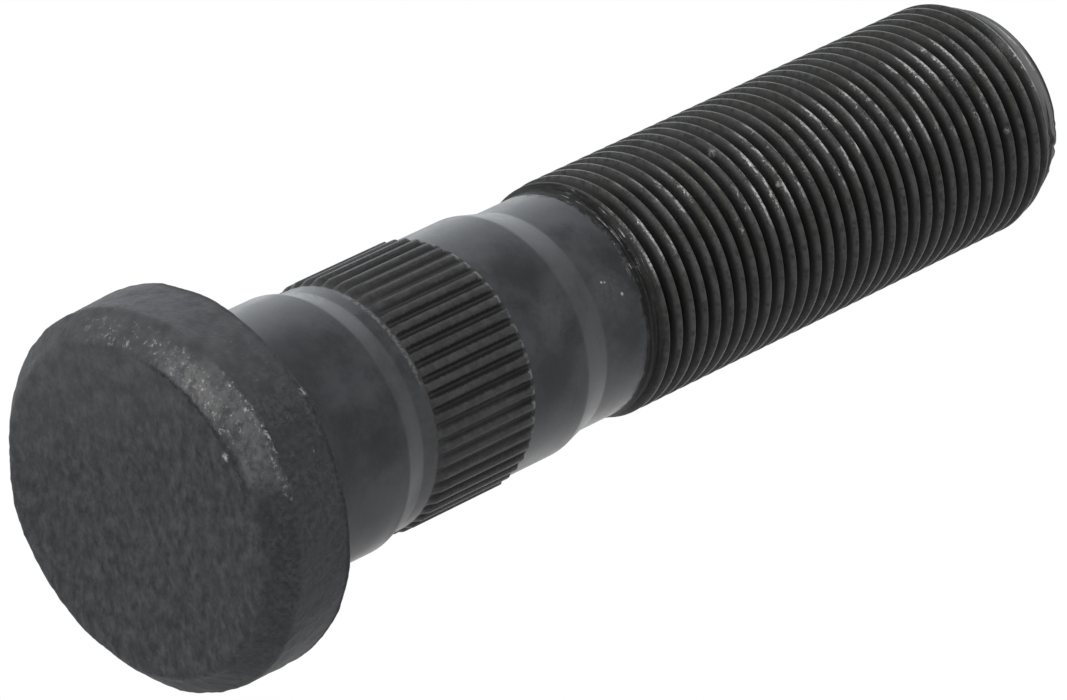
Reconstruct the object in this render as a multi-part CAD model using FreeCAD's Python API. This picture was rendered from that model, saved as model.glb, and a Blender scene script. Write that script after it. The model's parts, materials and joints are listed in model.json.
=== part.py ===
"""Wheel bolt: a press-in wheel stud with a round forged head, a straight knurl and a fine thread.

The bolt stands on its head. The origin is the centre of the head's outer face, and +Z runs up
the bolt to its tip. All sizes are in millimetres.
"""
import FreeCAD, Part
import math
import os

os.makedirs("parts", exist_ok=True)

# Head: a forged disc with a bevel round its outer face and a softly rounded rim on the hub side
HEAD_DIAMETER = 31.2
HEAD_THICKNESS = 7.8
HEAD_BEVEL_WIDTH = 2.0
HEAD_BEVEL_HEIGHT = 2.2
HEAD_BEVEL_ROUND = 0.7
HEAD_RIM_ROUND = 0.5

# Neck: the thickest turned length, with a fillet where it meets the head and a cone at its end
NECK_DIAMETER = 21.6
NECK_LENGTH = 11.2
NECK_FILLET = 0.6
NECK_CONE_LENGTH = 2.1

# Knurled length: a plain land, the rolled serrations and a plain collar, turned to one diameter
COLLAR_DIAMETER = 20.4
LAND_LENGTH = 1.55
KNURL_DIAMETER = 21.0
KNURL_LENGTH = 10.95
KNURL_END_CHAMFER = 0.3
KNURL_TEETH = 50
KNURL_GROOVE_DEPTH = 0.4
KNURL_GROOVE_BOTTOM = 0.22
KNURL_GROOVE_ANGLE = 62.0
COLLAR_LENGTH = 6.1
COLLAR_CONE_LENGTH = 2.9

# Shank: the bare stretch of the blank that the thread is rolled on
SHANK_DIAMETER = 18.9
SHANK_LENGTH = 5.6

# Thread: M20 x 1.5, a cylinder of its major diameter that rises from the shank and ends in a cone
THREAD_DIAMETER = 20.0
THREAD_RISE_LENGTH = 0.75
THREAD_LENGTH = 46.05
TIP_CONE_LENGTH = 3.0
TIP_DIAMETER = 17.2

# Heights of the steps above the head's outer face, each stacked on the one before
neck_base = HEAD_THICKNESS
neck_top = neck_base + NECK_LENGTH
land_base = neck_top + NECK_CONE_LENGTH
knurl_base = land_base + LAND_LENGTH
knurl_top = knurl_base + KNURL_LENGTH
collar_top = knurl_top + COLLAR_LENGTH
shank_base = collar_top + COLLAR_CONE_LENGTH
shank_top = shank_base + SHANK_LENGTH
thread_base = shank_top + THREAD_RISE_LENGTH
thread_top = thread_base + THREAD_LENGTH
tip_top = thread_top + TIP_CONE_LENGTH


def section_point(radius, height):
    """A point of the half section, in the plane through the bolt's axis and +X."""
    return FreeCAD.Vector(radius, 0, height)


def rounded_corner(before, corner, after, round_radius):
    """The arc of this radius that is tangent to both sides of a corner of the section."""
    to_before = (before - corner).normalize()
    to_after = (after - corner).normalize()
    half_angle = to_before.getAngle(to_after) / 2
    tangent_length = round_radius / math.tan(half_angle)
    to_centre = (to_before + to_after).normalize()
    sagitta_length = round_radius / math.sin(half_angle) - round_radius
    start = corner + to_before * tangent_length
    middle = corner + to_centre * sagitta_length
    end = corner + to_after * tangent_length
    return Part.Arc(start, middle, end).toShape()


def section_wire(corners):
    """A closed wire through corners given as (radius, height, round), with the rounds as arcs."""
    points = [section_point(radius, height) for radius, height, _ in corners]
    edges = []
    pen = points[0]
    for index in range(1, len(corners)):
        round_radius = corners[index][2]
        if round_radius:
            arc = rounded_corner(points[index - 1], points[index], points[index + 1], round_radius)
            edges.append(Part.makeLine(pen, arc.firstVertex().Point))
            edges.append(arc)
            pen = arc.lastVertex().Point
        else:
            edges.append(Part.makeLine(pen, points[index]))
            pen = points[index]
    edges.append(Part.makeLine(pen, points[0]))
    return Part.Wire(edges)


def turned_blank():
    """The whole bolt as one turned solid, before its knurl is rolled."""
    head_radius = HEAD_DIAMETER / 2
    neck_radius = NECK_DIAMETER / 2
    collar_radius = COLLAR_DIAMETER / 2
    knurl_radius = KNURL_DIAMETER / 2
    shank_radius = SHANK_DIAMETER / 2
    thread_radius = THREAD_DIAMETER / 2
    half_section = [
        (0, 0, 0),
        (head_radius - HEAD_BEVEL_WIDTH, 0, 0),
        (head_radius, HEAD_BEVEL_HEIGHT, HEAD_BEVEL_ROUND),
        (head_radius, HEAD_THICKNESS, HEAD_RIM_ROUND),
        (neck_radius, neck_base, NECK_FILLET),
        (neck_radius, neck_top, 0),
        (collar_radius, land_base, 0),
        (collar_radius, knurl_base, 0),
        (knurl_radius, knurl_base + KNURL_END_CHAMFER, 0),
        (knurl_radius, knurl_top - KNURL_END_CHAMFER, 0),
        (collar_radius, knurl_top, 0),
        (collar_radius, collar_top, 0),
        (shank_radius, shank_base, 0),
        (shank_radius, shank_top, 0),
        (thread_radius, thread_base, 0),
        (thread_radius, thread_top, 0),
        (TIP_DIAMETER / 2, tip_top, 0),
        (0, tip_top, 0),
    ]
    section = Part.Face(section_wire(half_section))
    return section.revolve(FreeCAD.Vector(0, 0, 0), FreeCAD.Vector(0, 0, 1), 360)


def knurl_groove(turn):
    """One straight, flat-bottomed groove of the knurl, as a prism to cut away, turned about the axis."""
    crest_radius = KNURL_DIAMETER / 2
    root_radius = crest_radius - KNURL_GROOVE_DEPTH
    open_radius = crest_radius + KNURL_GROOVE_DEPTH
    half_bottom = KNURL_GROOVE_BOTTOM / 2
    flank_spread = (open_radius - root_radius) * math.tan(math.radians(KNURL_GROOVE_ANGLE / 2))
    half_width = half_bottom + flank_spread
    corners = [
        FreeCAD.Vector(root_radius, -half_bottom, knurl_base),
        FreeCAD.Vector(root_radius, half_bottom, knurl_base),
        FreeCAD.Vector(open_radius, half_width, knurl_base),
        FreeCAD.Vector(open_radius, -half_width, knurl_base),
    ]
    section = Part.Face(Part.makePolygon(corners + corners[:1]))
    groove = section.extrude(FreeCAD.Vector(0, 0, KNURL_LENGTH))
    groove.rotate(FreeCAD.Vector(0, 0, 0), FreeCAD.Vector(0, 0, 1), turn)
    return groove


def wheel_bolt():
    """The finished bolt: the turned blank with the grooves of its knurl cut into it."""
    grooves = [knurl_groove(360 * tooth / KNURL_TEETH) for tooth in range(KNURL_TEETH)]
    return turned_blank().cut(grooves)


bolt = wheel_bolt()
bolt.Solids[0].exportStep("parts/wheel_bolt.step")
print(f"wheel_bolt: {len(bolt.Solids)} solid, {tip_top:.2f} mm long, {bolt.Volume:.0f} cubic mm")
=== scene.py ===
# %% [markdown]
# # A wheel bolt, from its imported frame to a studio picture
# This lesson dresses one steel wheel bolt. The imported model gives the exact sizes, and Blender
# adds what a solid of plain faces leaves out: forging scale on the head, rolled serrations, a real
# helical thread that runs out into the shank, and the dull black finish with its small bright scars.
# The bolt stands on its head, with +Z running up to the threaded tip.

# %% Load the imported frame
import json
import math
import bpy
import numpy as np
from mathutils import Matrix, Vector

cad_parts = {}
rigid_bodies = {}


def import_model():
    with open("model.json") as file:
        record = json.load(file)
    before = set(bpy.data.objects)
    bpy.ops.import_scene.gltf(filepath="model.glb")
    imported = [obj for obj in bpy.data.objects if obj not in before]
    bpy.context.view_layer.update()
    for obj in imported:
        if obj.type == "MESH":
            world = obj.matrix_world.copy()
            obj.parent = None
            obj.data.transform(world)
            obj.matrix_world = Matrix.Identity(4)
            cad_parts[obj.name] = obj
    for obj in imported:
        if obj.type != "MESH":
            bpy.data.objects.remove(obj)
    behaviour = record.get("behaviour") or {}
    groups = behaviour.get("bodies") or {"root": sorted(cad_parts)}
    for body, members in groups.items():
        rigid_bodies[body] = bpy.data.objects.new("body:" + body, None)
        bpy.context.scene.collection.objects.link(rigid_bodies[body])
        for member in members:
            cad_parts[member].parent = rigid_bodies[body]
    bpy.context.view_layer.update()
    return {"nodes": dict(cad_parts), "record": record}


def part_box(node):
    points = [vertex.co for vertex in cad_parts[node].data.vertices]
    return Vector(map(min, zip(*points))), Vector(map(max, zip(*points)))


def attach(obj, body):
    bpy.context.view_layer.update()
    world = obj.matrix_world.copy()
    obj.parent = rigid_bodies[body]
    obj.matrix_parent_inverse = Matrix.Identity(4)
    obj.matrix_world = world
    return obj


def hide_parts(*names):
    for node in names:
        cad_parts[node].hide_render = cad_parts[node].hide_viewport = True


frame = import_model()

print("frame nodes:", sorted(frame["nodes"]))

# %% [markdown]
# ## Sizes
# Blender works in metres, but a bolt is thought of in millimetres, so the sizes of the bolt are in
# millimetres and are multiplied by `MM` when an operator needs them. The sizes that other parts
# depend on are read from the frame: the box of the node and the radii of its mounts. The rest are the
# turned steps between them.

# %% Sizes in millimetres
MM = 0.001
box_low, box_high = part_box("wheel_bolt")
mounts = {mount["name"]: mount for mount in frame["record"]["mounts"]}
HEAD_RADIUS = (box_high[0] - box_low[0]) / 2 / MM
BOLT_LENGTH = box_high[2] / MM
SEAT_HEIGHT = mounts["head_seat"]["pos_m"][2] / MM
KNURL_RADIUS = mounts["knurl_press"]["dims"]["r_mm"]
THREAD_RADIUS = mounts["stud_thread"]["dims"]["r_mm"]
BEVEL_WIDTH = 2.0
BEVEL_HEIGHT = 2.2
FACE_RADIUS = HEAD_RADIUS - BEVEL_WIDTH
NECK_RADIUS = 10.8
NECK_TOP = 19.0
COLLAR_RADIUS = 10.2
LAND_BASE = 21.1
KNURL_BASE = 22.65
KNURL_TOP = 33.6
COLLAR_TOP = 39.7
SHANK_RADIUS = 9.45
SHANK_BASE = 42.6
THREAD_BASE = 47.2
THREAD_PITCH = 1.5
TIP_CONE_BASE = 95.0
TIP_RADIUS = 8.6
print(f"head {2 * HEAD_RADIUS:.1f} mm across, bolt {BOLT_LENGTH:.1f} mm long")

# %% [markdown]
# ## Section of the turned body
# A turned part is a path of straight runs and small rounds, spun about an axis. Each corner of the
# path is written as radius, height and round, and a short formula puts a tangent arc in its place.
# The path is then cut into stations close enough together for the surface to be shaped later.


# %% Helpers for a rounded path
def unit(vector):
    """The vector scaled to length one."""
    return vector / np.linalg.norm(vector)


def corner_arc(before, corner, after, round_radius, cuts=4):
    """Points on the arc that is tangent to both sides of a corner."""
    to_before = unit(before - corner)
    to_after = unit(after - corner)
    half_angle = math.acos(float(np.clip(to_before @ to_after, -1, 1))) / 2
    tangent_length = round_radius / math.tan(half_angle)
    centre = corner + unit(to_before + to_after) * round_radius / math.sin(half_angle)
    start = corner + to_before * tangent_length - centre
    end = corner + to_after * tangent_length - centre
    shares = np.linspace(0, 1, cuts + 1)
    return [centre + round_radius * unit(start * (1 - share) + end * share) for share in shares]


def rounded_path(corners, spacing):
    """Stations (radius, height) along (radius, height, round) corners, at most spacing apart."""
    points = [np.array(corner[:2], float) for corner in corners]
    path = [points[0]]
    for index in range(1, len(points) - 1):
        round_radius = corners[index][2]
        if round_radius:
            path += corner_arc(points[index - 1], points[index], points[index + 1], round_radius)
        else:
            path.append(points[index])
    path.append(points[-1])
    stations = [path[0]]
    for start, end in zip(path, path[1:]):
        cuts = max(1, math.ceil(np.linalg.norm(end - start) / spacing))
        stations += [start + (end - start) * step / cuts for step in range(1, cuts + 1)]
    return stations


# %% [markdown]
# ## Pulling rings
# The body starts as a small filled circle in the middle of the head's face. Its edge is extruded and
# scaled again and again, ring after ring, out over the face, round the bevel, up the side, in under
# the head and along the shank. A spin of a drawn section would do as well, but pulling rings
# keeps one even band of quads from the middle of the head to the start of the thread.

# %% Pull the body from the middle of the head's face
SEGMENTS = 300
FACE_CENTRE_RADIUS = 0.9
HEAD_SPACING = 0.36
SHANK_SPACING = 1.6
BEVEL_INNER_ROUND = 0.8
BEVEL_OUTER_ROUND = 0.7
RIM_ROUND = 0.5
FILLET_ROOM = 1.2
NECK_FILLET = 0.6
NECK_CONE_ROUND = 1.2
COLLAR_CONE_ROUND = 1.5
KNURL_LEAD_IN = 0.9
KNURL_END = 0.35
GROOVE_END = 0.15
EDGE_SUPPORT = 0.06
BRIDGE_GAP = 0.4


def deselect_objects():
    """Clears the selection, which still holds the loaded nodes at first."""
    bpy.ops.object.select_all(action="DESELECT")


def select_open_edges():
    """Selects the edges on the open rims of the mesh in edit mode."""
    bpy.ops.mesh.select_mode(type="EDGE")
    bpy.ops.mesh.select_all(action="DESELECT")
    bpy.ops.mesh.select_non_manifold(extend=False, use_wire=False, use_multi_face=False,
                                     use_non_contiguous=False, use_verts=False)


def pull_rings(stations):
    """Extrudes the selected ring from station to station, scaling it to each radius."""
    for (radius, height), (next_radius, next_height) in zip(stations, stations[1:]):
        rise = (0, 0, (next_height - height) * MM)
        bpy.ops.mesh.extrude_edges_move(TRANSFORM_OT_translate={"value": rise})
        growth = next_radius / radius
        bpy.ops.transform.resize(value=(growth, growth, 1),
                                 center_override=(0, 0, next_height * MM))


deselect_objects()
bpy.ops.mesh.primitive_circle_add(vertices=SEGMENTS, radius=FACE_CENTRE_RADIUS * MM,
                                  fill_type="TRIFAN")
bolt = bpy.context.object
bolt.name = "wheel_bolt_finish"
bpy.ops.object.mode_set(mode="EDIT")
select_open_edges()

head_corners = [
    (FACE_CENTRE_RADIUS, 0, 0),
    (FACE_RADIUS, 0, BEVEL_INNER_ROUND),
    (HEAD_RADIUS, BEVEL_HEIGHT, BEVEL_OUTER_ROUND),
    (HEAD_RADIUS, SEAT_HEIGHT, RIM_ROUND),
    (NECK_RADIUS + FILLET_ROOM, SEAT_HEIGHT, 0),
]
neck_corners = [
    (NECK_RADIUS + FILLET_ROOM, SEAT_HEIGHT, 0),
    (NECK_RADIUS, SEAT_HEIGHT, NECK_FILLET),
    (NECK_RADIUS, NECK_TOP, NECK_CONE_ROUND),
    (COLLAR_RADIUS, LAND_BASE, NECK_CONE_ROUND),
    (COLLAR_RADIUS, KNURL_BASE - EDGE_SUPPORT, 0),
    (COLLAR_RADIUS, KNURL_BASE, 0),
]
knurl_corners = [
    (COLLAR_RADIUS, KNURL_BASE, 0),
    (COLLAR_RADIUS, KNURL_BASE + GROOVE_END, 0),
    (COLLAR_RADIUS, KNURL_BASE + KNURL_LEAD_IN / 2, 0),
    (KNURL_RADIUS, KNURL_BASE + KNURL_LEAD_IN, 0),
    (KNURL_RADIUS, KNURL_TOP - KNURL_END, 0),
    (COLLAR_RADIUS, KNURL_TOP - GROOVE_END, 0),
    (COLLAR_RADIUS, KNURL_TOP, 0),
]
shank_corners = [
    (COLLAR_RADIUS, KNURL_TOP, 0),
    (COLLAR_RADIUS, KNURL_TOP + EDGE_SUPPORT, 0),
    (COLLAR_RADIUS, COLLAR_TOP, COLLAR_CONE_ROUND),
    (SHANK_RADIUS, SHANK_BASE, COLLAR_CONE_ROUND),
    (SHANK_RADIUS, THREAD_BASE - BRIDGE_GAP, 0),
]
pull_rings(rounded_path(head_corners, HEAD_SPACING))
pull_rings(rounded_path(neck_corners, SHANK_SPACING))
pull_rings(rounded_path(knurl_corners, SHANK_SPACING))
pull_rings(rounded_path(shank_corners, SHANK_SPACING))
bpy.ops.object.mode_set(mode="OBJECT")
print("body:", len(bolt.data.vertices), "vertices")

# %% [markdown]
# ## Rolled serrations
# The knurl is pressed into the turned collar by a toothed roller, so the crests stand a little
# proud of the collar and the grooves dip a little below it. Every tooth has six vertices round it: two
# on the flat bottom of the groove, one on each shoulder and two across the crest. The crests swell
# out of the land slowly and end at the collar more steeply, while each groove is deep from its ends on.

# %% Roll the teeth of the knurl
KNURL_TEETH = 50
GROOVE_DEPTH = 0.4
TOOTH_ANGLES = np.array([-0.10, 0.10, 0.28, 0.38, 0.62, 0.72])
TOOTH_HEIGHTS = np.array([0.0, 0.0, 0.72, 1.0, 1.0, 0.72])
TOOTH_UNEVENNESS = 0.03
TOOTH_SEED = 5


def read_points(mesh):
    """The mesh's vertices as an array of rows."""
    points = np.empty(3 * len(mesh.vertices))
    mesh.vertices.foreach_get("co", points)
    return points.reshape(-1, 3)


def write_points(mesh, points):
    """Puts moved vertices back into the mesh."""
    mesh.vertices.foreach_set("co", points.ravel())
    mesh.update()


def ease(share):
    """A smooth step from 0 to 1."""
    share = np.clip(share, 0, 1)
    return share * share * (3 - 2 * share)


def roll_knurl(mesh):
    """Moves the vertices of the knurled rings onto the section of the teeth."""
    rng = np.random.default_rng(TOOTH_SEED)
    points = read_points(mesh)
    height = points[:, 2] / MM
    on_teeth = (height > KNURL_BASE + GROOVE_END / 2) & (height < KNURL_TOP - GROOVE_END / 2)
    turn = np.arctan2(points[on_teeth, 1], points[on_teeth, 0]) / (2 * math.pi) % 1
    corner = np.round(turn * SEGMENTS).astype(int) % SEGMENTS
    tooth, place = np.divmod(corner, len(TOOTH_ANGLES))
    from_base = (height[on_teeth] - KNURL_BASE) / KNURL_LEAD_IN
    from_top = (KNURL_TOP - height[on_teeth]) / KNURL_END
    rise = np.minimum(ease(from_base), ease(from_top))
    uneven = TOOTH_UNEVENNESS * rng.uniform(-1, 1, KNURL_TEETH)
    proud = KNURL_RADIUS - COLLAR_RADIUS + uneven[tooth]
    root = KNURL_RADIUS - GROOVE_DEPTH
    radius = root + (COLLAR_RADIUS + proud * rise - root) * TOOTH_HEIGHTS[place]
    angle = 2 * math.pi * (tooth + TOOTH_ANGLES[place]) / KNURL_TEETH
    points[on_teeth, 0] = radius * np.cos(angle) * MM
    points[on_teeth, 1] = radius * np.sin(angle) * MM
    write_points(mesh, points)


roll_knurl(bolt.data)
print("knurl:", KNURL_TEETH, "teeth,", GROOVE_DEPTH, "mm deep")

# %% [markdown]
# ## Forging scale on the head
# The head was struck hot in a die and never machined, so its face waves a little and its skin is
# pitted with scale. Two Displace modifiers with cloud textures move the vertices themselves, one
# broad and one fine. A vertex group could keep them on the head, but it is surer to let them move
# everything and then to put the turned length back where it was.

# %% Wave and pit the forged head
SEAT_MARGIN = 0.05


def forge(name, size, depth, octaves):
    """Displaces the whole skin with clouds of this size and depth in millimetres."""
    clouds = bpy.data.textures.new(name, type="CLOUDS")
    clouds.noise_scale = size * MM
    clouds.noise_depth = octaves
    wave = bolt.modifiers.new(name, "DISPLACE")
    wave.texture = clouds
    wave.texture_coords = "LOCAL"
    wave.strength = depth * MM
    wave.mid_level = 0.5
    bpy.ops.object.modifier_apply(modifier=name)


turned_points = read_points(bolt.data)
on_head = turned_points[:, 2] / MM < SEAT_HEIGHT - SEAT_MARGIN
forge("forging waves", size=5.0, depth=0.34, octaves=1)
forge("scale pits", size=0.8, depth=0.16, octaves=2)
forged_points = read_points(bolt.data)
write_points(bolt.data, np.where(on_head[:, None], forged_points, turned_points))
print("forged vertices:", int(on_head.sum()))

# %% [markdown]
# ## One pitch of rolled thread
# The thread is M20 with a fine pitch of 1.5 mm, rolled between dies, so its crests are narrow flats
# with rounded edges and its roots are round. One pitch is drawn as a chain of vertices from root to
# root. A Screw modifier sweeps the chain up a right-hand helix, and neighbouring turns are merged. The
# sweep starts a few turns below the first crest that faces the viewer and runs past the tip. The next
# step trims it.

# %% Screw the thread
THREAD_STEPS = 150
CREST_FLAT = 0.14
CREST_ROUND = 0.12
ROOT_ROUND = 0.14
FLANK_ANGLE = math.radians(30)
FROM_FLANK = (-60, -30, 0)
TO_FLANK = (0, 30, 60)
FIRST_CREST = 49.05
LEAD_TURNS = 3.25
SPARE_TURNS = 4
thread_depth = (THREAD_PITCH - CREST_FLAT) / 2 / math.tan(FLANK_ANGLE) - CREST_ROUND - ROOT_ROUND
turns = math.ceil((BOLT_LENGTH - THREAD_BASE) / THREAD_PITCH) + SPARE_TURNS
helix_start = FIRST_CREST - LEAD_TURNS * THREAD_PITCH


def round_points(centre_radius, centre_height, round_radius, outward, degrees):
    """Points on one round of the thread's section, at these degrees from square to the axis."""
    angles = np.radians(degrees)
    return [(centre_radius + outward * round_radius * math.cos(angle),
             centre_height + round_radius * math.sin(angle)) for angle in angles]


def thread_chain():
    """One pitch of the section, from the middle of a root to the middle of the next one."""
    root_centre = THREAD_RADIUS - thread_depth + ROOT_ROUND
    crest_centre = THREAD_RADIUS - CREST_ROUND
    crest_height = helix_start + THREAD_PITCH / 2
    root_up = round_points(root_centre, helix_start, ROOT_ROUND, -1, TO_FLANK)
    near_edge = round_points(crest_centre, crest_height - CREST_FLAT / 2, CREST_ROUND, 1, FROM_FLANK)
    far_edge = round_points(crest_centre, crest_height + CREST_FLAT / 2, CREST_ROUND, 1, TO_FLANK)
    root_down = round_points(root_centre, helix_start + THREAD_PITCH, ROOT_ROUND, -1, FROM_FLANK)
    return root_up + near_edge + far_edge + root_down


deselect_objects()
bpy.ops.mesh.primitive_plane_add(size=MM, location=(0, 0, 0))
thread = bpy.context.object
bpy.ops.object.mode_set(mode="EDIT")
bpy.ops.mesh.select_mode(type="VERT")
bpy.ops.mesh.merge(type="CENTER")
chain = thread_chain()
bpy.ops.transform.translate(value=(chain[0][0] * MM, 0, chain[0][1] * MM))
for (radius, height), (next_radius, next_height) in zip(chain, chain[1:]):
    move = ((next_radius - radius) * MM, 0, (next_height - height) * MM)
    bpy.ops.mesh.extrude_vertices_move(TRANSFORM_OT_translate={"value": move})
bpy.ops.object.mode_set(mode="OBJECT")
helix = thread.modifiers.new("helix", "SCREW")
helix.axis = "Z"
helix.angle = 2 * math.pi
helix.screw_offset = THREAD_PITCH * MM
helix.iterations = turns
helix.steps = THREAD_STEPS
helix.render_steps = THREAD_STEPS
bpy.ops.object.modifier_apply(modifier="helix")
print("thread:", turns, "turns swept,", len(thread.data.vertices), "vertices")

# %% [markdown]
# ## Run-out and tip
# A rolled thread doesn't start at once. At its lower end the crests sink and the roots rise until
# both meet the bare shank. At its upper end the bar was turned to a cone before rolling, so the crests
# sink with the cone and the grooves grow shallow. Moving the vertices in code does both: their radius is
# faded in over the first turns and led along the cone, and whatever lies past either end is pressed
# flat onto the end ring and merged away. The edge of the tip is chipped on one side, with one small burr.

# %% Fade the thread in and cut its tip
RUNOUT_LENGTH = 2.2
ROOT_DELAY = 1.2
MERGE_DISTANCE = 0.002
CHIP_DEPTH = 0.22
CHIP_REACH = 1.0
CHIP_SEED = 11
CHIPPED_SIDE = math.radians(-40)
CHIPPED_COSINE = 0.75
CHIPPED_SOFTNESS = 0.2
BURR_HEIGHT = 0.5
BURR_SIZE = 0.4
BURR_PLACE = (math.radians(-56.5), 96.9)


def tip_wear(angle, height):
    """How far the edge of the tip stands in or out, by its angle and height: chips and one burr."""
    rng = np.random.default_rng(CHIP_SEED)
    chips = rng.uniform(0, 1, THREAD_STEPS) ** 2
    step = np.round(angle / (2 * math.pi) * THREAD_STEPS).astype(int) % THREAD_STEPS
    on_side = ease((np.cos(angle - CHIPPED_SIDE) - CHIPPED_COSINE) / CHIPPED_SOFTNESS)
    on_edge = ease((height - BOLT_LENGTH + CHIP_REACH) / CHIP_REACH)
    burr_angle, burr_height = BURR_PLACE
    along = (height - burr_height) / BURR_SIZE
    around = np.angle(np.exp(1j * (angle - burr_angle))) * TIP_RADIUS / BURR_SIZE
    burr = BURR_HEIGHT * np.exp(-along ** 2 - around ** 2)
    return burr - CHIP_DEPTH * chips[step] * on_side * on_edge


def trim_thread(mesh):
    """Fades the start of the thread into the shank and leads its end along the tip's cone."""
    points = read_points(mesh)
    radius = np.hypot(points[:, 0], points[:, 1]) / MM
    angle = np.arctan2(points[:, 1], points[:, 0])
    height = np.clip(points[:, 2] / MM, THREAD_BASE, BOLT_LENGTH)
    crest_fade = ease((height - THREAD_BASE) / RUNOUT_LENGTH)
    root_fade = ease((height - THREAD_BASE - ROOT_DELAY) / (RUNOUT_LENGTH - ROOT_DELAY / 2))
    fade = np.where(radius > SHANK_RADIUS, crest_fade, root_fade)
    radius = SHANK_RADIUS + (radius - SHANK_RADIUS) * fade
    along_cone = np.clip((height - TIP_CONE_BASE) / (BOLT_LENGTH - TIP_CONE_BASE), 0, 1)
    sunk = (THREAD_RADIUS - TIP_RADIUS) * along_cone
    groove_left = 1 - along_cone
    radius = THREAD_RADIUS - sunk - (THREAD_RADIUS - radius) * groove_left
    radius += tip_wear(angle, height)
    points[:, 0] = radius * np.cos(angle) * MM
    points[:, 1] = radius * np.sin(angle) * MM
    points[:, 2] = height * MM
    write_points(mesh, points)


trim_thread(thread.data)
bpy.ops.object.mode_set(mode="EDIT")
bpy.ops.mesh.select_all(action="SELECT")
bpy.ops.mesh.remove_doubles(threshold=MERGE_DISTANCE * MM)
bpy.ops.mesh.dissolve_degenerate(threshold=MERGE_DISTANCE * MM)
bpy.ops.object.mode_set(mode="OBJECT")
print("thread after trimming:", len(thread.data.vertices), "vertices")

# %% [markdown]
# ## Closing the end
# The end of the bolt is the sawn or sheared end of the bar, turned flat, with its sharp edge broken.
# The open ring is pulled inwards in a few steps, and the last small ring is filled and poked, so
# that the end closes in triangles round one middle point.

# %% Close the tip's end face
END_EDGE = 0.12
END_RIM = 0.48
END_RING_SHARES = (0.6, 0.25)
end_radii = [TIP_RADIUS, TIP_RADIUS - END_EDGE, TIP_RADIUS - END_RIM]
end_radii += [share * TIP_RADIUS for share in END_RING_SHARES]
end_stations = [(radius, BOLT_LENGTH) for radius in end_radii]
bpy.ops.object.mode_set(mode="EDIT")
bpy.ops.mesh.select_mode(type="VERT")
bpy.ops.mesh.select_all(action="DESELECT")
bpy.ops.object.mode_set(mode="OBJECT")
top_height = (BOLT_LENGTH - MERGE_DISTANCE) * MM
for vertex in thread.data.vertices:
    vertex.select = vertex.co.z > top_height
bpy.ops.object.mode_set(mode="EDIT")
bpy.ops.mesh.select_mode(type="EDGE")
pull_rings(end_stations)
bpy.ops.mesh.edge_face_add()
bpy.ops.mesh.poke()
bpy.ops.object.mode_set(mode="OBJECT")
print("end face at", BOLT_LENGTH, "mm")

# %% [markdown]
# ## One skin
# The real bolt is one piece of steel, so the two meshes become one: they are joined, the open ring of
# the shank is bridged to the open ring of the thread, and the normals are turned outwards.

# %% Join the shank and the thread
SMOOTH_BELOW = math.radians(42)
deselect_objects()
thread.select_set(True)
bolt.select_set(True)
bpy.context.view_layer.objects.active = bolt
bpy.ops.object.join()
bpy.ops.object.mode_set(mode="EDIT")
select_open_edges()
bpy.ops.mesh.bridge_edge_loops()
bpy.ops.mesh.select_all(action="SELECT")
bpy.ops.mesh.normals_make_consistent(inside=False)
bpy.ops.object.mode_set(mode="OBJECT")
bpy.ops.object.shade_smooth_by_angle(angle=SMOOTH_BELOW)
bolt.data.calc_loop_triangles()
print("one skin:", len(bolt.data.loop_triangles), "triangles")

# %% [markdown]
# ## Finishes
# Every finish is a black oxide on steel, so the colours stay close together and most of the
# difference is in the roughness and the relief. All patterns read Object coordinates, turned into
# millimetres by a Mapping node, so a noise scale of 2 means grains of half a millimetre.
# The bolt has been handled, and its scars lie on one side. An arc round the bolt is three numbers of
# degrees: its middle, counted from -Y, which faces the viewer, towards -X, and how far from the middle
# it is full and where it ends. A band is its two limits and the softness of its edges, a spot is
# its place and size, and every colour of a finish has a name.

# %% Helpers for the finishes
WHITE = (1, 1, 1, 1)
GLOSS = 0.37
SPOT_CORE = 0.2


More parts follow.
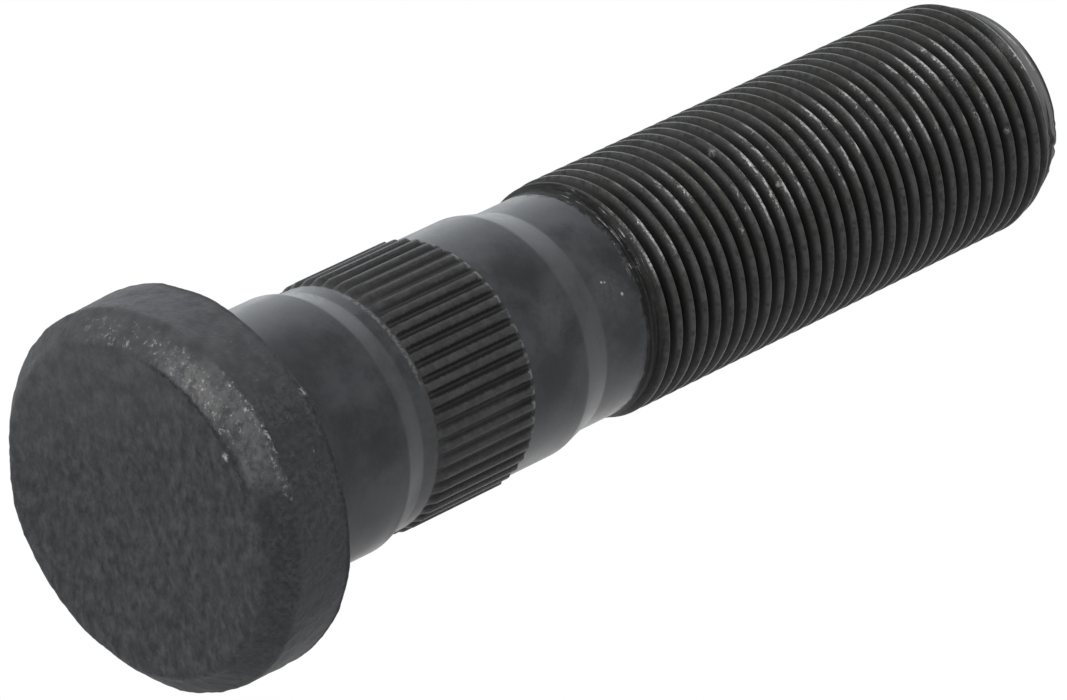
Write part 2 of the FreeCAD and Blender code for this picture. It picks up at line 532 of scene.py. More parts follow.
class Finish:
    """A material with a few short ways to add nodes to it."""

    def __init__(self, name):
        self.material = bpy.data.materials.new(name)
        self.material.use_nodes = True
        self.nodes = self.material.node_tree.nodes
        self.links = self.material.node_tree.links
        self.shader = self.nodes["Principled BSDF"]
        place = self.nodes.new("ShaderNodeTexCoord")
        self.mm = self.mapped(place.outputs["Object"], (1 / MM, 1 / MM, 1 / MM))
        self.across = self.mapped(place.outputs["Object"], (1 / MM, 1 / MM, 0))
        self.radius = self.vector_math("LENGTH", self.across)
        parts = self.nodes.new("ShaderNodeSeparateXYZ")
        self.links.new(self.mm, parts.inputs[0])
        self.height = parts.outputs["Z"]
        self.angle = self.math("ARCTAN2", parts.outputs["Y"], parts.outputs["X"])

    def mapped(self, vector, scale, turn=0.0):
        """The vector through a Mapping node that scales it and turns it about the bolt's axis."""
        mapping = self.nodes.new("ShaderNodeMapping")
        mapping.inputs["Scale"].default_value = scale
        mapping.inputs["Rotation"].default_value = (0, 0, turn)
        self.links.new(vector, mapping.inputs["Vector"])
        return mapping.outputs["Vector"]

    def vector_math(self, operation, vector, other=(0, 0, 0)):
        """One Vector Math node that gives a number."""
        node = self.nodes.new("ShaderNodeVectorMath")
        node.operation = operation
        self.links.new(vector, node.inputs[0])
        node.inputs[1].default_value = other
        return node.outputs["Value"]

    def put(self, value, socket):
        """Links an output to a socket, or sets a plain number on it."""
        if isinstance(value, bpy.types.NodeSocket):
            self.links.new(value, socket)
        else:
            socket.default_value = value

    def noise(self, scale, detail=3.0, roughness=0.55, stretch=(1, 1, 1), turn=0.0):
        """A noise of this many grains a millimetre, turned, then drawn out where stretch is below one."""
        noise = self.nodes.new("ShaderNodeTexNoise")
        noise.inputs["Scale"].default_value = scale
        noise.inputs["Detail"].default_value = detail
        noise.inputs["Roughness"].default_value = roughness
        place = self.mapped(self.mm, (1, 1, 1), turn)
        self.links.new(self.mapped(place, stretch), noise.inputs["Vector"])
        return noise.outputs["Fac"]

    def math(self, operation, first, second=0.0):
        """One Math node."""
        node = self.nodes.new("ShaderNodeMath")
        node.operation = operation
        self.put(first, node.inputs[0])
        self.put(second, node.inputs[1])
        return node.outputs[0]

    def both(self, *masks):
        """The product of several masks or shares."""
        product = masks[0]
        for mask in masks[1:]:
            product = self.math("MULTIPLY", product, mask)
        return product

    def between(self, value, low, high, to_low=0.0, to_high=1.0):
        """Maps low..high to to_low..to_high with soft, clamped ends."""
        node = self.nodes.new("ShaderNodeMapRange")
        node.interpolation_type = "SMOOTHSTEP"
        self.put(value, node.inputs["Value"])
        node.inputs["From Min"].default_value = low
        node.inputs["From Max"].default_value = high
        node.inputs["To Min"].default_value = to_low
        node.inputs["To Max"].default_value = to_high
        return node.outputs["Result"]

    def below(self, value, low, high):
        """One up to low, then falling softly to zero at high."""
        return self.between(value, low, high, 1.0, 0.0)

    def band(self, value, low, high, soft):
        """One between two limits, zero outside them, with soft edges."""
        return self.both(self.between(value, low - soft, low), self.below(value, high, high + soft))

    def side(self, middle, full, none):
        """One within full degrees of a side of the bolt, zero beyond none degrees."""
        turn = math.radians(middle)
        facing = (-math.sin(turn), -math.cos(turn), 0)
        cosine = self.math("DIVIDE", self.vector_math("DOT_PRODUCT", self.across, facing), self.radius)
        return self.between(cosine, math.cos(math.radians(none)), math.cos(math.radians(full)))

    def most(self, *masks):
        """The largest of several masks."""
        total = masks[0]
        for mask in masks[1:]:
            total = self.math("MAXIMUM", total, mask)
        return total

    def spots(self, places):
        """Soft spots at (x, y, z, size) places in millimetres."""
        total = 0.0
        for x, y, z, size in places:
            distance = self.vector_math("DISTANCE", self.mm, (x, y, z))
            total = self.math("MAXIMUM", self.below(distance, SPOT_CORE * size, size), total)
        return total

    def mix(self, share, first, second):
        """Mixes two colours by a share."""
        node = self.nodes.new("ShaderNodeMix")
        node.data_type = "RGBA"
        # A Mix node has sockets for every data type: 6 and 7 take colours, and output 2 gives one
        self.put(share, node.inputs[0])
        self.put(first, node.inputs[6])
        self.put(second, node.inputs[7])
        return node.outputs[2]

    def bump(self, height, depth, under=None):
        """A bump of this depth in millimetres, on top of another bump if one is given."""
        node = self.nodes.new("ShaderNodeBump")
        node.inputs["Distance"].default_value = depth * MM
        self.links.new(height, node.inputs["Height"])
        if under is not None:
            self.links.new(under, node.inputs["Normal"])
        return node.outputs["Normal"]

    def dress(self, colour, roughness, normal, metallic=0.0, tint=WHITE, gloss=GLOSS):
        """Gives the shader its colour, roughness, relief, metal and the tint and strength of its gloss."""
        self.shader.inputs["Specular IOR Level"].default_value = gloss
        self.shader.inputs["Specular Tint"].default_value = tint
        self.put(colour, self.shader.inputs["Base Color"])
        self.put(roughness, self.shader.inputs["Roughness"])
        self.put(metallic, self.shader.inputs["Metallic"])
        self.links.new(normal, self.shader.inputs["Normal"])
        return self.material


def grey(level, blue=0.0):
    """A dark grey that leans to blue by this share, or to olive where it is below zero."""
    green = max(blue, 0.0) / 3
    return (level, level * (1 + green), level * (1 + blue), 1.0)


# %% [markdown]
# ## Forged scale
# The head keeps its forging skin under the black: a dull, sandy surface, with grain drawn out one way
# across the face, and painted light that makes the scale paler towards one side. Along the bevel the
# scale is rubbed off on one side. There the steel shows first as scattered specks, then as a dense patch
# of bright facets with a pale core, and then as a smooth grey band that ends at the bevel's outer edge.
# Painting the wear by hand would need an image. Masks by radius, height and arc keep each kind in its
# place instead, and noise cut off at a threshold breaks it up. A few nicks sit at places of their own, and
# painted shade darkens a thin line along one side of the face's edge and one pit at a place of its own.

# %% Forged scale finish
BLUE_GLOSS = (0.86, 0.89, 1.0, 1.0)
STREAK_TURN = math.radians(-36.4)
STREAK_STRETCH = (0.6, 1.0, 1.0)
# Painted light: the scale turns paler towards this side of the head
PAINTED_LIGHT_SIDE = (-0.98, -0.17, 0.0)
PAINTED_LIGHT_REACH = (3.0, 13.0)
FACE_FADE = (0.2, 0.7)
BEVEL_START = (FACE_RADIUS - 0.35, FACE_RADIUS + 0.15)
SPECKLED_ARC = (40, 20, 44)
SPECKLED_FADE = (1.2, 2.0)
DENSE_ARC = (28, 9, 22)
DENSE_FADE = (1.1, 1.9)
CORE_ARC = (28, 5, 14)
SMOOTH_ARC = (10, 10, 26)
SMOOTH_BAND = (0.5, 2.1, 0.4)
EDGE_ARC = (4, 12, 24)
EDGE_BAND = (2.0, 2.4, 0.2)
SIDE_SPECK_ARC = (12, 16, 34)
SIDE_SPECK_BAND = (4.2, 7.6, 0.8)
# Painted shade along one side of the face's edge
CREASE_SHADE_ARC = (14, 22, 40)
CREASE_SHADE_BAND = (FACE_RADIUS - 0.45, FACE_RADIUS - 0.2, 0.25)
SIDE_START = (1.9, 2.8)
RIM_START = (SEAT_HEIGHT - 0.9, SEAT_HEIGHT - 0.4)
HEAD_NICKS = [
    (-11.5, -7.6, 0.4, 0.45),
    (-13.7, -3.6, 1.0, 0.5),
    (-0.6, -12.9, 0.0, 0.5),
    (-2.5, -15.3, 7.4, 0.6),
]
# Painted shade for one pit in the face
FACE_PIT_SHADE = [(9.3, 1.2, 0.0, 0.75), (9.0, 1.9, 0.0, 0.6)]
SCALE_DARK = grey(0.004, 0.08)
SCALE_PALE = grey(0.046, 0.08)
FACE_DARK = grey(0.010, 0.08)
FACE_PALE = grey(0.064, 0.08)
# Painted light: the paler colour of the scale on one side
PAINTED_LIGHT_SCALE = grey(0.080, 0.08)
SOOTY_SCALE = grey(0.014, 0.05)
# Painted shade colour for the line at the face's edge and for the pit
PAINTED_SHADE_BLACK = grey(0.008)
RUBBED_SCALE = grey(0.105)
THIN_SCALE = grey(0.145)
HEAD_STEEL = grey(0.40)


def unworn_scale(skin, grain, lumps):
    """The colour of the whole scale: grainy on the side, streaky on the face, and paler towards one side
    as painted light.
    """
    streaks = skin.noise(1.3, 6.0, 0.68, STREAK_STRETCH, STREAK_TURN)
    tone = skin.mix(skin.between(grain, 0.36, 0.64), SCALE_DARK, SCALE_PALE)
    face_tone = skin.mix(skin.between(streaks, 0.32, 0.68), FACE_DARK, FACE_PALE)
    tone = skin.mix(skin.below(skin.height, *FACE_FADE), tone, face_tone)
    # Painted light: the scale is coloured paler towards one side of the head
    towards_painted_light = skin.vector_math("DOT_PRODUCT", skin.across, PAINTED_LIGHT_SIDE)
    tone = skin.mix(skin.between(towards_painted_light, *PAINTED_LIGHT_REACH, 0.0, 0.7), tone, PAINTED_LIGHT_SCALE)
    return skin.mix(skin.between(lumps, 0.36, 0.6, 0.5, 0.0), tone, SOOTY_SCALE)


def forged_scale():
    """Dull black forging skin, rubbed to bare steel along one side of the bevel."""
    skin = Finish("forged scale")
    grain = skin.noise(2.4, detail=6.0, roughness=0.72)
    lumps = skin.noise(0.55, detail=5.0, roughness=0.62)
    facets = skin.noise(3.2, 5.0, 0.74, STREAK_STRETCH, STREAK_TURN)
    clumps = skin.noise(1.7, 5.0, 0.70, STREAK_STRETCH, STREAK_TURN)
    clusters = skin.between(skin.noise(1.1, detail=3.0), 0.40, 0.60)
    bevel = skin.between(skin.radius, *BEVEL_START)
    speckled = skin.both(bevel, skin.side(*SPECKLED_ARC), skin.below(skin.height, *SPECKLED_FADE))
    dense = skin.both(bevel, skin.side(*DENSE_ARC), skin.below(skin.height, *DENSE_FADE))
    smooth = skin.both(bevel, skin.side(*SMOOTH_ARC), skin.band(skin.height, *SMOOTH_BAND),
                       skin.between(lumps, 0.3, 0.5, 0.35, 1.0))
    edge = skin.both(skin.side(*EDGE_ARC), skin.band(skin.height, *EDGE_BAND), clusters)
    side_specks = skin.both(skin.side(*SIDE_SPECK_ARC), skin.band(skin.height, *SIDE_SPECK_BAND), clusters)
    bare = skin.most(
        skin.both(speckled, clusters, skin.between(facets, 0.54, 0.66)),
        skin.both(dense, skin.between(clumps, 0.40, 0.58), skin.between(facets, 0.53, 0.66)),
        skin.both(smooth, skin.between(facets, 0.60, 0.74, 0.0, 0.7)),
        skin.both(edge, skin.between(facets, 0.50, 0.64)),
        skin.both(side_specks, skin.between(facets, 0.60, 0.72, 0.0, 0.6)),
        skin.both(skin.spots(HEAD_NICKS), skin.between(facets, 0.44, 0.56)))
    # Painted shade: a thin dark line along one side of the face's edge, and a dark spot for one pit
    crease_shade = skin.both(skin.band(skin.radius, *CREASE_SHADE_BAND), skin.side(*CREASE_SHADE_ARC),
                       skin.between(grain, 0.35, 0.6))
    dark = skin.most(crease_shade, skin.spots(FACE_PIT_SHADE))
    colour = skin.mix(dark, unworn_scale(skin, grain, lumps), PAINTED_SHADE_BLACK)
    rubbed = skin.most(smooth, skin.both(dense, 0.9), skin.both(speckled, 0.3))
    rubbed = skin.both(rubbed, skin.between(clumps, 0.34, 0.60, 0.25, 1.0))
    colour = skin.mix(rubbed, colour, RUBBED_SCALE)
    core = skin.both(dense, skin.side(*CORE_ARC), skin.between(clumps, 0.38, 0.58, 0.1, 0.8))
    colour = skin.mix(core, colour, THIN_SCALE)
    colour = skin.mix(bare, colour, HEAD_STEEL)
    on_side = skin.between(skin.height, *SIDE_START)
    rim = skin.between(skin.height, *RIM_START)
    roughness = skin.between(grain, 0.3, 0.7, 0.54, 0.70)
    roughness = skin.math("SUBTRACT", roughness, skin.both(on_side, 0.06))
    roughness = skin.math("ADD", roughness, skin.both(rim, 0.3))
    relief = skin.bump(lumps, 0.18)
    relief = skin.bump(grain, 0.16, relief)
    return skin.dress(colour, roughness, relief, bare, BLUE_GLOSS)


# %% [markdown]
# ## Turned black
# Neck, land, collar and shank were turned smooth before they were blackened. The finish is a satin
# with a faint blue cast, very fine rings left by the tool, a little pale dust and soft smudges of oil, the
# largest of them at places of their own. Close to the thread a ragged ring of grime begins, and there the
# rolling dies have left fine bright scratches on the worn side. The rings are a noise that is drawn out
# across the axis until it only changes with the height.

# %% Turned black finish
SHANK_NICKS = [(-0.3, -9.45, 44.1, 0.16), (-0.2, -9.45, 44.4, 0.12), (1.2, -9.38, 45.6, 0.2)]
OIL_SMUDGES = [
    (-5.5, -9.3, 13.6, 4.2),
    (3.4, -10.2, 16.9, 3.4),
    (2.6, -10.4, 13.6, 3.0),
    (-4.2, -9.3, 37.4, 3.6),
    (5.3, -8.7, 35.8, 3.4),
    (-2.6, -9.1, 46.9, 2.2),
    (4.4, -8.4, 45.6, 2.6),
    (9.5, -5.1, 14.5, 6.0),
    (9.1, -4.9, 20.5, 4.5),
]
DUSTY_PATCHES = [(0.6, -9.43, 44.2, 2.6), (0.2, -10.2, 37.6, 2.4)]
TOOL_RING_STRETCH = (0.02, 0.02, 1.0)
DIE_RING_STRETCH = (0.035, 0.035, 1.0)
GRIME_EDGE = (THREAD_BASE - 0.5, THREAD_BASE + 0.2)
SCRATCHED_ARC = (26, 14, 36)
SCRATCHED_BAND = (THREAD_BASE - 0.2, THREAD_BASE + 1.3, 0.4)
LAND_BURR_ARC = (24, 18, 36)
LAND_BURR_BAND = (KNURL_BASE - 0.3, KNURL_BASE + 0.1, 0.15)
TURNED_DARK = grey(0.006, 0.1)
TURNED_PALE = grey(0.034, 0.08)
FINE_DUST = grey(0.036, 0.1)
THICK_DUST = grey(0.046, 0.04)
OIL_BLACK = grey(0.002, 0.05)
LAND_BURR = grey(0.10, 0.05)
SHANK_STEEL = grey(0.34)


def grime(skin):
    """One on the dirty ring where the thread runs out, with a ragged lower edge."""
    ragged = skin.between(skin.noise(0.9, detail=4.0, roughness=0.65), 0.3, 0.7, -0.5, 0.5)
    edge = skin.math("ADD", skin.height, ragged)
    return skin.between(edge, *GRIME_EDGE)


def die_scratches(skin):
    """Fine bright rings where the thread runs out, on the worn side."""
    rings = skin.noise(6.0, detail=3.0, roughness=0.7, stretch=DIE_RING_STRETCH)
    breaks = skin.between(skin.noise(0.9, detail=4.0, roughness=0.7), 0.44, 0.60)
    place = skin.band(skin.height, *SCRATCHED_BAND)
    return skin.both(skin.between(rings, 0.51, 0.62), breaks, place, skin.side(*SCRATCHED_ARC))


def turned_black():
    """Satin black oxide on turned steel, with tool rings, dust, oil smudges and grime near the thread."""
    skin = Finish("turned black")
    rings = skin.noise(7.0, detail=2.0, stretch=TOOL_RING_STRETCH)
    clouds = skin.noise(0.28, detail=6.0, roughness=0.66)
    dust = skin.noise(2.6, detail=4.0, roughness=0.7)
    tone = skin.mix(skin.between(clouds, 0.33, 0.67), TURNED_DARK, TURNED_PALE)
    tone = skin.mix(skin.between(dust, 0.45, 0.75, 0.0, 0.35), tone, FINE_DUST)
    dusty = skin.both(skin.spots(DUSTY_PATCHES), skin.between(dust, 0.3, 0.7, 0.3, 1.0))
    tone = skin.mix(dusty, tone, THICK_DUST)
    smudged = skin.both(skin.spots(OIL_SMUDGES), skin.between(clouds, 0.3, 0.6, 1.0, 0.55))
    dirty = skin.most(smudged, skin.both(grime(skin), skin.between(dust, 0.4, 0.65, 1.0, 0.6)))
    tone = skin.mix(dirty, tone, OIL_BLACK)
    burrs = skin.both(skin.band(skin.height, *LAND_BURR_BAND), skin.side(*LAND_BURR_ARC),
                      skin.between(dust, 0.42, 0.58))
    tone = skin.mix(burrs, tone, LAND_BURR)
    bare = skin.most(die_scratches(skin), skin.spots(SHANK_NICKS))
    colour = skin.mix(bare, tone, SHANK_STEEL)
    roughness = skin.between(clouds, 0.3, 0.7, 0.24, 0.36)
    roughness = skin.math("ADD", roughness, skin.both(dirty, 0.2))
    relief = skin.bump(rings, 0.006)
    return skin.dress(colour, roughness, relief, bare, BLUE_GLOSS)


# %% [markdown]
# ## Knurl black
# The serrations carry the same oxide, but the roller has bruised it: the crests are a touch
# lighter than the grooves, which are coloured dark as painted shade and for the oil and dirt that stay
# there. The grooves are found by the angle round the axis, so the slow swell of the crests doesn't count
# as a groove. They are blackest on one side, fainter in two places where they are rubbed, and their flat
# bottoms are coloured a little lighter, as painted light.

# %% Knurl finish
GROOVE_SHOULDER = (0.21, 0.29)
GROOVE_BOTTOM = (0.02, 0.12)
CREST_SHOULDER = (0.12, 0.3)
GROOVE_BAND = (KNURL_BASE + 0.25, KNURL_TOP - 0.3, 0.12)
FAINT_ARC = (58, 16, 30)
FAINT_FADE = (24.0, 27.5)
SMEARED_ARC = (-38, 8, 22)
SMEARED_FADE = (30.0, 33.0)
OILY_ARC = (-4, 24, 44)
END_BURR_ARC = (10, 50, 70)
END_BURR_BAND = (KNURL_TOP - 0.4, KNURL_TOP - 0.1, 0.15)
KNURL_GLOSS = 0.2
KNURL_DARK = grey(0.026)
KNURL_PALE = grey(0.050)
# Painted shade and oil in the grooves, with painted light on their flat bottoms
DRY_GROOVE_SHADE = grey(0.028)
OILY_GROOVE_SHADE = grey(0.008)
DRY_LIT_BOTTOM = grey(0.038)
OILY_LIT_BOTTOM = grey(0.024)
END_BURR = grey(0.16, 0.05)


def knurl_black():
    """Black oxide on rolled serrations, with painted shade and oil in the grooves and pale burrs at their
    ends.
    """
    skin = Finish("knurl black")
    worn = skin.noise(1.3, detail=4.0, roughness=0.65)
    rag = skin.between(skin.noise(3.0, detail=3.0), 0.3, 0.7, -0.03, 0.03)
    tooth = skin.math("MULTIPLY", skin.angle, KNURL_TEETH / (2 * math.pi))
    from_groove = skin.math("ADD", skin.math("PINGPONG", tooth, 0.5), rag)
    faint = skin.both(skin.side(*FAINT_ARC), skin.between(skin.height, *FAINT_FADE, 0.75, 0.0))
    smeared = skin.both(skin.side(*SMEARED_ARC), skin.between(skin.height, *SMEARED_FADE, 0.6, 0.0))
    along = skin.math("SUBTRACT", skin.band(skin.height, *GROOVE_BAND), skin.most(faint, smeared))
    # The grooves are coloured dark as painted shade and oil, and their flat bottoms a little lighter as
    # painted light
    groove = skin.both(along, skin.below(from_groove, *GROOVE_SHOULDER))
    bottom = skin.both(groove, skin.below(from_groove, *GROOVE_BOTTOM))
    oily = skin.side(*OILY_ARC)
    black = skin.mix(oily, DRY_GROOVE_SHADE, OILY_GROOVE_SHADE)
    black = skin.mix(bottom, black, skin.mix(oily, DRY_LIT_BOTTOM, OILY_LIT_BOTTOM))
    tone = skin.mix(skin.between(worn, 0.35, 0.7), KNURL_DARK, KNURL_PALE)
    colour = skin.mix(groove, tone, black)
    burrs = skin.both(skin.band(skin.height, *END_BURR_BAND), skin.side(*END_BURR_ARC),
                      skin.between(worn, 0.40, 0.55), skin.between(from_groove, *CREST_SHOULDER))
    colour = skin.mix(burrs, colour, END_BURR)
    roughness = skin.between(worn, 0.3, 0.7, 0.38, 0.5)
    roughness = skin.math("ADD", roughness, skin.both(groove, 0.3))
    relief = skin.bump(worn, 0.05)
    relief = skin.bump(skin.noise(5.0, detail=3.0), 0.03, relief)
    return skin.dress(colour, roughness, relief, gloss=KNURL_GLOSS)


# %% [markdown]
# ## Rolled thread
# The thread is oily: grey on the crests, with a thin olive film in places, and coloured near black in
# the grooves as painted shade and oil, a little paler on one side. The place on the helix is worked out
# from the height and the angle, so that groove, crest and the far edge of the crest can each be told
# apart.
# On the worn side nuts and other bolts have polished that edge in dashes, bare steel that is also set
# there as painted glints, and left tiny specks beside it, gathered in patches. A few deeper dents have
# places of their own.

# %% Rolled thread finish
THREAD_GLOSS = 0.12
THREAD_DENTS = [
    (-5.94, -7.92, 61.8, 0.65),
    (-1.3, -9.8, 65.1, 0.4),
    (-2.4, -9.6, 87.0, 0.5),
    (2.8, -9.5, 90.7, 0.4),
]
CONE_RING_STRETCH = (0.04, 0.04, 1.0)
DASH_STRETCH = (0.4, 0.4, 1.0)
FULL_THREAD = (THREAD_BASE + 1.2, THREAD_BASE + 2.1)
CONE_START = (TIP_CONE_BASE + 0.2, TIP_CONE_BASE + 0.9)
CONE_FADE = (TIP_CONE_BASE - 0.3, TIP_CONE_BASE + 1.2)
NEAR_FLANK = (0.22, 0.38)
FAR_FLANK = (0.66, 0.74)
# Painted glints: the band across the pitch on the crest's far edge that carries them
FAR_EDGE_BAND = (0.45, 0.62, 0.07)
CREST_BAND = (0.38, 0.62, 0.06)
FILM_ARC = (25, 30, 60)
GLINT_ARC = (17, 15, 30)
# Arc on which the painted shade in the roots is paler
PALER_ROOT_ARC = (80, 20, 48)
DRY_CREST = grey(0.068)
OILY_CREST = grey(0.048)
OLIVE_FILM = grey(0.062, -0.22)
CREST_STAIN = grey(0.016)
# Painted shade and oil in the roots of the thread, darker and paler
OILY_ROOT_SHADE = grey(0.005)
PALER_ROOT_SHADE = grey(0.030)
CONE_DARK = grey(0.03)
CONE_PALE = grey(0.17)
GRIME = grey(0.010)
GRIME_RINGS = grey(0.001)
THREAD_STEEL = grey(0.45)


def helix_place(skin, rag):
    """The place across one pitch, from 0 in one root to 1 in the next, with a ragged offset."""
    turns_up = skin.math("SUBTRACT", skin.math("MULTIPLY", skin.height, 1 / THREAD_PITCH),
                         skin.math("MULTIPLY", skin.angle, 1 / (2 * math.pi)))
    from_root = skin.math("SUBTRACT", turns_up, helix_start / THREAD_PITCH)
    return skin.math("FRACT", skin.math("ADD", from_root, rag))


def crest_wear_and_painted_glints(skin, place, fine, patches):
    """One on the polished dashes, also set there as painted glints, and on the specks of the crests, which
    gather in patches on the worn side.
    """
    gathered = skin.between(skin.noise(0.24, detail=2.0), 0.44, 0.58, 0.25, 1.0)
    # Painted glints and wear: bare steel dashes along the far edge of the crests, on the side where glints
    # fall
    dashes = skin.both(skin.between(skin.noise(0.9, 5.0, 0.68, DASH_STRETCH), 0.43, 0.54),
                       skin.band(place, *FAR_EDGE_BAND), skin.between(fine, 0.38, 0.57, 0.2, 1.0))
    specks = skin.both(skin.between(fine, 0.52, 0.66), skin.between(patches, 0.42, 0.58),
                       skin.band(place, *CREST_BAND))
    return skin.both(skin.most(dashes, specks), skin.side(*GLINT_ARC), gathered)


def rolled_thread():
    """Oily black thread with painted shade in its grooves, and rubbed crests with painted glints on its
    worn side.
    """
    skin = Finish("rolled thread")
    oil = skin.noise(0.4, detail=4.0, roughness=0.6)
    fine = skin.noise(4.5, detail=5.0, roughness=0.78)
    patches = skin.noise(1.6, detail=4.0, roughness=0.7)
    rings = skin.noise(4.0, detail=3.0, roughness=0.6, stretch=CONE_RING_STRETCH)
    place = helix_place(skin, skin.between(patches, 0.3, 0.7, -0.025, 0.025))
    full = skin.between(skin.height, *FULL_THREAD)
    tone = skin.mix(skin.between(oil, 0.35, 0.65), DRY_CREST, OILY_CREST)
    film = skin.both(skin.between(oil, 0.5, 0.64), skin.side(*FILM_ARC), 0.6)
    tone = skin.mix(film, tone, OLIVE_FILM)
    tone = skin.mix(skin.between(patches, 0.42, 0.66, 0.0, 0.7), tone, CREST_STAIN)
    groove = skin.most(skin.below(place, *NEAR_FLANK), skin.between(place, *FAR_FLANK))
    cone_left = skin.between(skin.height, *CONE_FADE, 1.0, 0.3)
    # Painted shade and oil: the lower flanks and roots are coloured near black, paler on one side of the
    # bolt
    black = skin.mix(skin.side(*PALER_ROOT_ARC), OILY_ROOT_SHADE, PALER_ROOT_SHADE)
    tone = skin.mix(skin.both(groove, full, cone_left), tone, black)
    on_cone = skin.between(skin.height, *CONE_START)
    cone_tone = skin.mix(skin.between(rings, 0.42, 0.58), CONE_DARK, CONE_PALE)
    tone = skin.mix(on_cone, tone, cone_tone)
    dirt = skin.both(grime(skin), skin.between(full, 0.0, 1.0, 0.9, 0.0))
    tone = skin.mix(skin.both(dirt, skin.between(fine, 0.4, 0.65, 1.0, 0.5)), tone, GRIME)
    tone = skin.mix(skin.both(dirt, skin.between(rings, 0.44, 0.56, 0.0, 0.8)), tone, GRIME_RINGS)
    # Bare steel on the crests: painted glints as well as wear
    glints = skin.both(crest_wear_and_painted_glints(skin, place, fine, patches), full)
    dents = skin.both(skin.spots(THREAD_DENTS), skin.between(fine, 0.40, 0.56, 0.0, 0.7))
    bare = skin.most(glints, die_scratches(skin), dents)
    colour = skin.mix(bare, tone, THREAD_STEEL)
    roughness = skin.between(fine, 0.3, 0.7, 0.24, 0.40)
    roughness = skin.math("ADD", roughness, skin.both(on_cone, 0.2))
    roughness = skin.math("ADD", roughness, skin.between(full, 0.0, 1.0, 0.25, 0.0))
    relief = skin.bump(skin.noise(3.0, detail=3.0), 0.02)
    return skin.dress(colour, roughness, relief, bare, gloss=THREAD_GLOSS)


# %% [markdown]
# ## Cut end
# The end of the bar was cut and turned after everything else, so a little bare steel shows round its
# edge through the black.

# %% Cut end finish
END_WEAR = 0.4
CLOUD_STRETCH = (0.3, 0.3, 1.0)
END_DARK = grey(0.03)
END_PALE = grey(0.05, -0.06)
END_STEEL = grey(0.25)


def cut_end():
    """Turned end face with a worn bright edge."""
    skin = Finish("cut end")
    clouds = skin.noise(1.0, detail=2.0, stretch=CLOUD_STRETCH)
    edge = skin.between(skin.radius, TIP_RADIUS - END_WEAR, TIP_RADIUS)
    chips = skin.between(skin.noise(0.7, detail=5.0, roughness=0.7), 0.46, 0.66, 0.0, 0.8)
    worn = skin.both(edge, chips)
    tone = skin.mix(skin.between(clouds, 0.3, 0.7), END_DARK, END_PALE)
    colour = skin.mix(worn, tone, END_STEEL)
    roughness = skin.between(clouds, 0.3, 0.7, 0.4, 0.55)
    relief = skin.bump(clouds, 0.05)
    return skin.dress(colour, roughness, relief, worn)


# %% [markdown]
# ## Where each finish goes
# Each face takes its finish from the height and radius of its middle, so the borders follow the
# edges that the tools left: the rim of the head, the ends of the knurl and the start of the thread.
# What no other finish claims is turned black.

# %% Put the finishes on
FINISHES = [forged_scale, turned_black, knurl_black, rolled_thread, cut_end]
SCALE_RIM = 1.0
RIM_MARGIN = 0.3
SIDE_MARGIN = 0.5
END_MARGIN = 0.01

bolt.data.materials.clear()
for finish in FINISHES:
    bolt.data.materials.append(finish())
middles = np.empty(3 * len(bolt.data.polygons))
bolt.data.polygons.foreach_get("center", middles)
middles = middles.reshape(-1, 3) / MM
face_radius = np.hypot(middles[:, 0], middles[:, 1])
face_height = middles[:, 2]
on_rim = (face_height < SEAT_HEIGHT + RIM_MARGIN) & (face_radius > HEAD_RADIUS - SCALE_RIM)
finish_places = [
    (on_rim | (face_height < SEAT_HEIGHT - SIDE_MARGIN), forged_scale),
    ((face_height > KNURL_BASE) & (face_height < KNURL_TOP), knurl_black),
    (face_height > THREAD_BASE, rolled_thread),
    (face_height > BOLT_LENGTH - END_MARGIN, cut_end),
]
finish_index = np.full(len(middles), FINISHES.index(turned_black), dtype=np.int32)
for faces, finish in finish_places:
    finish_index[faces] = FINISHES.index(finish)
bolt.data.polygons.foreach_set("material_index", finish_index)
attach(bolt, "root")
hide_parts("wheel_bolt")
print("faces by finish:", np.bincount(finish_index).tolist())

# %% [markdown]
# ## Camera
# The photograph looks at the bolt's head from the front and a little along it, so the camera is below
# the standing bolt and turned about its line of sight. Two angles describe it: how far the line of
# sight leans from the bolt's axis, and how steeply the axis climbs to the right in the picture. The
# lens is long, as in most pictures of small parts.

# %% Place the camera
AXIS_LEAN = 49.33
AXIS_CLIMB = 25.68
AIM = Vector((2.16, 0, 42.92)) * MM
DISTANCE = 692.98 * MM
LENS = 296.9
SENSOR_WIDTH = 36
NEAREST_SEEN = 10 * MM

lean = math.radians(AXIS_LEAN)
climb = math.radians(AXIS_CLIMB)
sight = Vector((0, math.sin(lean), math.cos(lean)))
axis_in_picture = (Vector((0, 0, 1)) - sight * sight.z).normalized()
across_axis = sight.cross(axis_in_picture)
picture_right = axis_in_picture * math.cos(climb) + across_axis * math.sin(climb)
picture_up = picture_right.cross(sight)
camera_data = bpy.data.cameras.new("camera")
camera_data.lens = LENS
camera_data.sensor_width = SENSOR_WIDTH
camera_data.clip_start = NEAREST_SEEN
camera = bpy.data.objects.new("camera", camera_data)
bpy.context.scene.collection.objects.link(camera)
camera.matrix_world = Matrix.Translation(AIM - sight * DISTANCE) @ Matrix(
    (picture_right, picture_up, -sight)).transposed().to_4x4()
bpy.context.scene.camera = camera
print("camera at", [round(value, 4) for value in camera.location])

# %% [markdown]
# ## Floor
# The floor is a pale plane just under the head. The photograph's view comes from below it, so its
# underside lets the camera see through, and from every other side it shows the bolt standing on its
# head with its shadow.

# %% Floor
FLOOR_GAP = 0.2
FLOOR_SIZE = 4000
FLOOR_COLOUR = (0.82, 0.82, 0.82, 1)
FLOOR_ROUGHNESS = 0.8

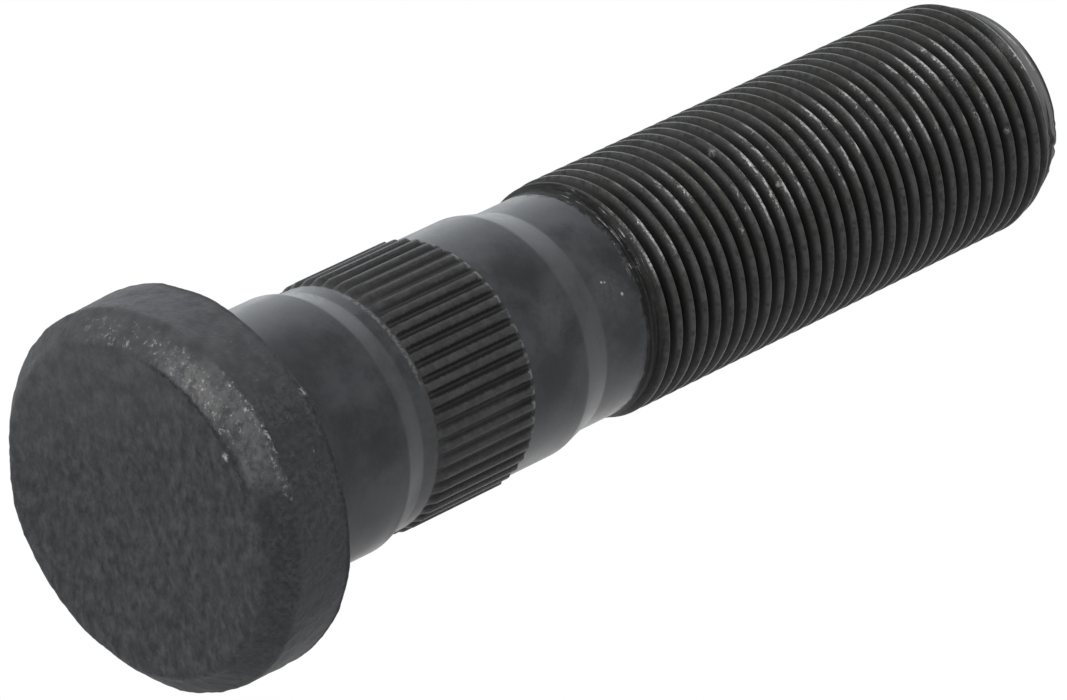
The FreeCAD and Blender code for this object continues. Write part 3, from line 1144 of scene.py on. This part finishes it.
deselect_objects()
bpy.ops.mesh.primitive_plane_add(size=FLOOR_SIZE * MM, location=(0, 0, -FLOOR_GAP * MM))
floor = bpy.context.object
floor.name = "floor"
floor_look = bpy.data.materials.new("pale floor")
floor_look.use_nodes = True
floor_nodes = floor_look.node_tree.nodes
floor_links = floor_look.node_tree.links
floor_shader = floor_nodes["Principled BSDF"]
floor_shader.inputs["Base Color"].default_value = FLOOR_COLOUR
floor_shader.inputs["Roughness"].default_value = FLOOR_ROUGHNESS
see_through = floor_nodes.new("ShaderNodeBsdfTransparent")
side_seen = floor_nodes.new("ShaderNodeNewGeometry")
two_sides = floor_nodes.new("ShaderNodeMixShader")
floor_links.new(side_seen.outputs["Backfacing"], two_sides.inputs["Fac"])
floor_links.new(floor_shader.outputs["BSDF"], two_sides.inputs[1])
floor_links.new(see_through.outputs["BSDF"], two_sides.inputs[2])
floor_links.new(two_sides.outputs["Shader"], floor_nodes["Material Output"].inputs["Surface"])
floor.data.materials.append(floor_look)
floor.visible_diffuse = False
floor.visible_glossy = False
floor.visible_transmission = False
floor.visible_shadow = False
print("floor under the head")

# %% [markdown]
# ## Lamps and room
# The bolt is seen in a plain white room. Black steel shows it by its reflections: faint where it faces
# the viewer, pale at its edges. The room is white to the camera and in the gloss, and lights the
# bolt itself more softly. A large fill lamp lifts the front without a reflection of its own, a small
# key lamp puts glints on the rounded crests, and a cool top lamp brightens the upper edges.

# %% Lamps and room
ROOM_LIGHT = 0.5
COOL_LIGHT = (0.80, 0.90, 1.0)


def soft_box(name, direction, distance, size, power):
    """An area lamp, in metres and watts, that looks at the middle of the bolt from a direction."""
    lamp_data = bpy.data.lights.new(name, "AREA")
    lamp_data.shape = "DISK"
    lamp_data.size = size
    lamp_data.energy = power
    lamp = bpy.data.objects.new(name, lamp_data)
    bpy.context.scene.collection.objects.link(lamp)
    direction = direction.normalized()
    lamp.location = AIM + direction * distance
    lamp.rotation_mode = "QUATERNION"
    lamp.rotation_quaternion = direction.to_track_quat("Z", "Y")
    lamp.visible_camera = False
    return lamp


fill_side = -sight + picture_up * 0.4 - picture_right * 0.3
key_side = -sight * 0.86 + picture_up * 0.45 - picture_right * 0.25
top_side = sight * 0.70 + picture_up * 0.71
fill = soft_box("fill lamp", fill_side, distance=0.9, size=0.8, power=2.2)
fill.visible_glossy = False
soft_box("key lamp", key_side, distance=0.7, size=0.12, power=1.4)
top = soft_box("top lamp", top_side, distance=0.5, size=0.6, power=0.50)
top.data.color = COOL_LIGHT

room = bpy.data.worlds.new("room")
bpy.context.scene.world = room
room.use_nodes = True
room_nodes = room.node_tree.nodes
room_links = room.node_tree.links
room_nodes["Background"].inputs["Color"].default_value = WHITE
ray = room_nodes.new("ShaderNodeLightPath")
seen = ray.outputs["Is Camera Ray"]
for kind in ("Is Glossy Ray", "Is Transmission Ray"):
    either = room_nodes.new("ShaderNodeMath")
    either.operation = "MAXIMUM"
    room_links.new(seen, either.inputs[0])
    room_links.new(ray.outputs[kind], either.inputs[1])
    seen = either.outputs["Value"]
strength = room_nodes.new("ShaderNodeMapRange")
strength.inputs["To Min"].default_value = ROOM_LIGHT
room_links.new(seen, strength.inputs["Value"])
room_links.new(strength.outputs["Result"], room_nodes["Background"].inputs["Strength"])
bpy.context.scene.view_settings.view_transform = "Standard"
print("lamps and room set")
